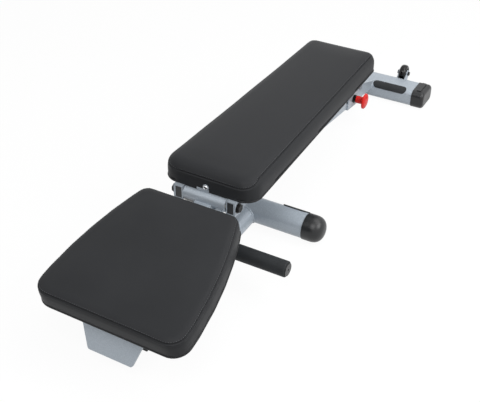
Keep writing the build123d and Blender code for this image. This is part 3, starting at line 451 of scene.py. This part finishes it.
def seam_path(rings, share):
    """Seam round the pad: share of the round edge that lies above it, at each column of points."""
    path = []
    for i, base in enumerate(rings[-1]):
        depth = share(base) * ROUND_STEPS
        upper = min(int(depth), ROUND_STEPS - 1)
        path.append(rings[upper][i].lerp(rings[upper + 1][i], depth - upper))
    return walk(path, SEAM_STEP)


def settle(mesh, swollen, held_up_to):
    """Move a pad to its swollen shape, with the swelling evened out as firm foam does it."""
    start, end = (numpy.empty(len(mesh.vertices) * 3) for _ in range(2))
    mesh.vertices.foreach_get("co", start)
    swollen.vertices.foreach_get("co", end)
    start, move = start.reshape(-1, 3), (end - start).reshape(-1, 3)
    reach = numpy.maximum(numpy.linalg.norm(move, axis=1), SWELL_CAP)
    move *= (SWELL_CAP / reach)[:, None]
    ends = numpy.empty(len(mesh.edges) * 2, dtype=numpy.int32)
    mesh.edges.foreach_get("vertices", ends)
    first, second = ends.reshape(-1, 2).T
    share = (start[:, 2] >= held_up_to) / numpy.bincount(ends, minlength=len(start))
    for _ in range(EVEN_PASSES):
        total = numpy.zeros_like(move)
        numpy.add.at(total, first, move[second])
        numpy.add.at(total, second, move[first])
        move = total * share[:, None]
    mesh.vertices.foreach_set("co", (start + move).ravel())


def stuffed(name, bm, voxel, held_up_to):
    """Swell a pad block like foam under a tight cover; its side band stays on the board."""
    mesh = bpy.data.meshes.new(name)
    bm.to_mesh(mesh)
    bm.free()
    pad = piece(name, mesh, vinyl)
    even = pad.modifiers.new("even", "REMESH")
    even.mode = "VOXEL"
    even.voxel_size = voxel
    pad.data = evaluated(pad)
    pad.modifiers.clear()
    held = pad.vertex_groups.new(name="held")
    held.add([v.index for v in pad.data.vertices if v.co.z < held_up_to], 1.0, "REPLACE")
    swell = pad.modifiers.new("swell", "CLOTH")
    swell.settings.vertex_group_mass = "held"
    swell.settings.use_pressure = True
    swell.settings.uniform_pressure_force = PRESSURE
    swell.settings.bending_stiffness = STIFFNESS
    swell.settings.effector_weights.gravity = 0.0
    swell.collision_settings.use_collision = False
    for step in range(1, SWELL_FRAMES + 1):
        bpy.context.scene.frame_set(step)
    swollen = evaluated(pad)
    pad.modifiers.clear()
    settle(pad.data, swollen, held_up_to)
    bpy.context.scene.frame_set(1)
    bm = bmesh.new()
    bm.from_mesh(pad.data)
    upper = [v for v in bm.verts if v.co.z > voxel]
    for _ in range(SMOOTH_PASSES):
        bmesh.ops.smooth_vert(bm, verts=upper, factor=0.5, use_axis_x=True, use_axis_y=True,
                              use_axis_z=True)
    for v in bm.verts:
        if v.co.z < FLAT_BELOW:
            v.co.z = 0.0
    bm.to_mesh(pad.data)
    bm.free()
    fine = pad.modifiers.new("fine", "SUBSURF")
    fine.levels = fine.render_levels = 1
    pad.data = evaluated(pad)
    pad.modifiers.clear()
    pad.vertex_groups.clear()
    pad.data.materials.clear()
    pad.data.materials.append(vinyl)
    pad.data.polygons.foreach_set("use_smooth", [True] * len(pad.data.polygons))
    return pad


def on_cover(pad, points, sink):
    """Points moved to the cover's surface, and below it by the sink."""
    mesh = pad.data
    tree = BVHTree.FromPolygons([v.co for v in mesh.vertices], [p.vertices for p in mesh.polygons])
    found = [tree.find_nearest(p) for p in points]
    return [spot - normal * sink for spot, normal, _, _ in found]


def groove(pad, points):
    """Pull the cover in along the seam, on faces divided finely enough to show it."""
    line = walk(points, GROOVE_STEP)
    tree = KDTree(len(line))
    for i, p in enumerate(line):
        tree.insert(p, i)
    tree.balance()
    bm = bmesh.new()
    bm.from_mesh(pad.data)
    close = {v for v in bm.verts if tree.find(v.co)[2] < SEAM_REACH}
    bmesh.ops.subdivide_edges(bm, edges=[e for e in bm.edges if close.issuperset(e.verts)], cuts=2,
                              use_grid_fill=True)
    bm.normal_update()
    for v in bm.verts:
        near = tree.find(v.co)[2]
        if near < SEAM_REACH:
            lip = SEAM_LIP * math.exp(-(near / SEAM_WIDTH - SEAM_LIP_AT) ** 2)
            v.co += v.normal * (lip - SEAM_DEPTH * math.exp(-(near / SEAM_WIDTH) ** 2))
    bm.to_mesh(pad.data)
    bm.free()


def stitched(name, pad, path):
    """Row of stitches on the top panel, beside the seam."""
    spots = on_cover(pad, walk(path, STITCH / 2), 0.0)
    threads = [(spots[i:i + 3], False) for i in range(0, len(spots) - 3, 4)]
    return piece(name + "_stitches", cord_mesh(name + "_stitches", threads, THREAD_R), thread)


def hem_path(ring, roll):
    """Line of the rolled hem: the pad's lower outline, drawn in by most of the roll's radius."""
    points = walk(ring, HEM_STEP)
    middle = sum(points, Vector()) / len(points)
    path = []
    for before, p, after in zip(points[-1:] + points[:-1], points, points[1:] + points[:1]):
        inward = (after - before).cross(Vector((0, 0, 1))).normalized()
        if inward.dot(middle - p) < 0:
            inward.negate()
        path.append(p + inward * HEM_IN * roll)
    return path


def sewn(name, pad, seam, hem, roll):
    """Cover's seam and the rolled hem at its lower edge, as two cords on the pad; the seam's cord is
    black and sunk in the groove, as painted shade along the seam.
    """
    # The seam's black cord lies low in the groove: painted shade along the seam.
    line = cord_mesh(name + "_seam", [(on_cover(pad, seam, SEAM_CORD_SINK), True)], SEAM_CORD_R)
    lower = cord_mesh(name + "_piping", [(hem, True)], roll)
    groove(pad, on_cover(pad, seam, 0.0))
    return piece(name + "_seam", line, piping_and_seam_shade), piece(name + "_piping", lower, piping_and_seam_shade)


BACK_HALF_FRONT = 0.143
BACK_HALF_HEAD = 0.1215
BACK_ROUND = 0.026
BACK_ROLL = 0.0032
SIDE_SHARE = 0.42
FRONT_SHARE = 0.92
BACK_STITCH_IN = 0.1
FRONT_CORNER = 0.048
HEAD_CORNER = 0.028
BACK_VOXEL = 0.007
BACK_HELD = 0.004
back_lo, back_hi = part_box("back_pad")
length, height = back_hi.y - back_lo.y, back_hi.z - back_lo.z
back_plan = [(-BACK_HALF_FRONT, 0), (BACK_HALF_FRONT, 0), (BACK_HALF_HEAD, length),
             (-BACK_HALF_HEAD, length)]
height -= BOARD_SHOWS + SWELL_ROOM
back_corners = [((0, 1), FRONT_CORNER), ((2, 3), HEAD_CORNER)]
block = pad_block(back_plan, back_corners, height, BACK_ROUND)
rings = edge_rings(block)


def dropped(share):
    """Share of the round above a line that drops across the front, given its share at the sides."""
    drop = FRONT_SHARE - SIDE_SHARE
    return lambda p: share + drop * max(0, 1 - p.y / FRONT_CORNER)


seam = seam_path(rings, dropped(SIDE_SHARE))
beside = seam_path(rings, dropped(SIDE_SHARE - BACK_STITCH_IN))
hem = hem_path(rings[-1], BACK_ROLL)
back_pad = stuffed("back_pad_vinyl", block, BACK_VOXEL, height - BACK_ROUND - BACK_HELD)
back_parts = [back_pad, *sewn("back_pad", back_pad, seam, hem, BACK_ROLL)]
back_parts.append(stitched("back_pad", back_pad, beside))
for part in back_parts:
    part.data.transform(Matrix.Translation((0, back_lo.y, back_lo.z + BOARD_SHOWS)))
    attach(part, "back")
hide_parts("back_pad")

# Strut, carriage and seat bracket: plate and box section in the same silver coat.
# The strut swings between the back rails and the carriage, which slides along the beam.
dress(powder, "strut", "carriage", "seat_bracket")

# Knobs of the two pull pins: glossy red ABS, moulded as one lens-shaped button on a stem.
# They are pressed on the end of the plunger, and dulled in patches by handling.
red, shader, place = coating("glossy_red_abs", "#ea2620", Roughness=0.3, IOR=1.53, Specular_IOR_Level=0.3)
gloss(red, shader, clouds(red, place, 0.012, 3.0), 0.26, 0.42)
dress(red, "back_knob", "seat_knob")

# Seat pad: the same foam and vinyl on its own board, narrow behind and broad in front.
# It is sewn flat and then leans with the seat, down to the front. The hem is drawn up behind, so that
# it clears the upright when the seat tilts.
SEAT_LEAN = math.radians(11.75)
SEAT_HEIGHT = 0.058
SEAT_REAR = Vector((0, HINGE_Y - 0.014, 0.2853))
SEAT_ROUND = 0.014
SEAT_ROLL = 0.0042
SEAT_HEM_LIFT, LIFT_FROM, LIFT_RUN = 0.004, -0.1, 0.03
SEAT_SHARE = 0.6
SEAT_STITCH_IN = 0.18
SEAT_FRONT_CORNER, SEAT_REAR_CORNER = 0.046, 0.022
SEAT_VOXEL = 0.0055
SEAT_HELD = 0.003
# One side of the outline, from the rear to the front: half width, and distance forward from SEAT_REAR.
sides = [(0.1422, 0.061), (0.1598, 0.11), (0.1778, 0.17), (0.194, 0.24), (0.2052, 0.31), (0.2122, 0.39),
         (0.213, 0.47)]
seat_plan = [(-x, -s) for x, s in reversed(sides)] + [(x, -s) for x, s in sides]
left_rear = len(sides) - 1
seat_corners = [((0, len(seat_plan) - 1), SEAT_FRONT_CORNER),
                ((left_rear, left_rear + 1), SEAT_REAR_CORNER)]
height = SEAT_HEIGHT - BOARD_SHOWS - SWELL_ROOM
block = pad_block(seat_plan, seat_corners, height, SEAT_ROUND)
rings = edge_rings(block)
seam = seam_path(rings, lambda p: SEAT_SHARE)
beside = seam_path(rings, lambda p: SEAT_SHARE - SEAT_STITCH_IN)
hem = hem_path(rings[-1], SEAT_ROLL)
for p in hem:
    p.z += SEAT_HEM_LIFT * min(1, max(0, (p.y - LIFT_FROM) / LIFT_RUN))
seat_pad = stuffed("seat_pad_vinyl", block, SEAT_VOXEL, height - SEAT_ROUND - SEAT_HELD)
seat_parts = [seat_pad, *sewn("seat_pad", seat_pad, seam, hem, SEAT_ROLL)]
seat_parts.append(stitched("seat_pad", seat_pad, beside))
lean = Matrix.Translation(SEAT_REAR) @ Matrix.Rotation(SEAT_LEAN, 4, "X")
lean = lean @ Matrix.Translation((0, 0, -SEAT_HEIGHT + BOARD_SHOWS))
for part in seat_parts:
    part.data.transform(lean)
    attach(part, "seat")
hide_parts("seat_pad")

# Room: a pale seamless floor with the bench's soft shadow on it, under a white sky.
# The floor and the sky are white to the camera and in reflections.
FLOOR_HALF, FLOOR_DROP = 12.0, 0.0005
FLOOR_WHITE, WHITE_SHARE = 1.17, 0.8
SKY_LIGHT, SKY_SEEN = 0.36, 1.0


def seen(owner):
    """1 for the camera and in reflections, 0 for light that falls on the bench."""
    ray = add(owner, "ShaderNodeLightPath")
    either = add(owner, "ShaderNodeMath",
                 {0: ray.outputs["Is Camera Ray"], 1: ray.outputs["Is Glossy Ray"]}, operation="MAXIMUM")
    return either.outputs["Value"]


floor_paint = bpy.data.materials.new("pale_floor")
floor_paint.use_nodes = True
floor_paint.node_tree.nodes.clear()
matt = add(floor_paint, "ShaderNodeBsdfDiffuse", {"Color": linear("#a6a6a6")})
glow = add(floor_paint, "ShaderNodeEmission", {"Color": (1, 1, 1, 1), "Strength": FLOOR_WHITE})
share = add(floor_paint, "ShaderNodeMath", {0: seen(floor_paint), 1: WHITE_SHARE}, operation="MULTIPLY")
mixed = add(floor_paint, "ShaderNodeMixShader",
            {0: share.outputs["Value"], 1: matt.outputs["BSDF"], 2: glow.outputs["Emission"]})
add(floor_paint, "ShaderNodeOutputMaterial", {"Surface": mixed.outputs["Shader"]})
bm = bmesh.new()
bmesh.ops.create_grid(bm, x_segments=1, y_segments=1, size=FLOOR_HALF)
floor_mesh = bpy.data.meshes.new("studio_floor")
bm.to_mesh(floor_mesh)
bm.free()
floor = piece("studio_floor", floor_mesh, floor_paint)
floor_mesh.transform(Matrix.Translation((0, 0, cad_box[0].z - FLOOR_DROP)))

world = bpy.data.worlds.new("white_sky")
bpy.context.scene.world = world
world.use_nodes = True
world.node_tree.nodes.clear()
level = add(world, "ShaderNodeMapRange", {"Value": seen(world), "To Min": SKY_LIGHT, "To Max": SKY_SEEN})
sky = add(world, "ShaderNodeBackground", {"Color": (1, 1, 1, 1), "Strength": level.outputs["Result"]})
add(world, "ShaderNodeOutputWorld", {"Surface": sky.outputs["Background"]})


def softbox(name, at, aim, size, power):
    """Square lamp that faces a point."""
    lamp = bpy.data.lights.new(name, "AREA")
    lamp.size = size
    lamp.energy = power
    made = bpy.data.objects.new(name, lamp)
    bpy.context.scene.collection.objects.link(made)
    made.location = at
    made.rotation_euler = (Vector(aim) - Vector(at)).to_track_quat("-Z", "Y").to_euler()


softbox("overhead_softbox", (0.9, 0.8, 2.5), (0, 0.2, 0.2), 2.0, 22)
softbox("front_softbox", (0.4, -2.0, 2.4), (0, -0.3, 0.2), 1.6, 25)
softbox("side_softbox", (2.4, -0.1, 1.8), (0, 0, 0.2), 1.6, 40)

# Camera: the photograph's place, in front and to the right, looking down along the bench.
view = bpy.data.cameras.new("photo_view")
view.sensor_width = 36.0
view.sensor_fit = "HORIZONTAL"
view.lens = 64.5
camera = bpy.data.objects.new("photo_view", view)
bpy.context.scene.collection.objects.link(camera)
camera.location = (0.989, -1.97957, 1.546)
turn, tip = math.radians(29.41), math.radians(35.56)
look = Vector((-math.sin(turn) * math.cos(tip), math.cos(turn) * math.cos(tip), -math.sin(tip)))
camera.rotation_euler = look.to_track_quat("-Z", "Y").to_euler()
bpy.context.scene.camera = camera
bpy.context.scene.view_settings.view_transform = "Standard"
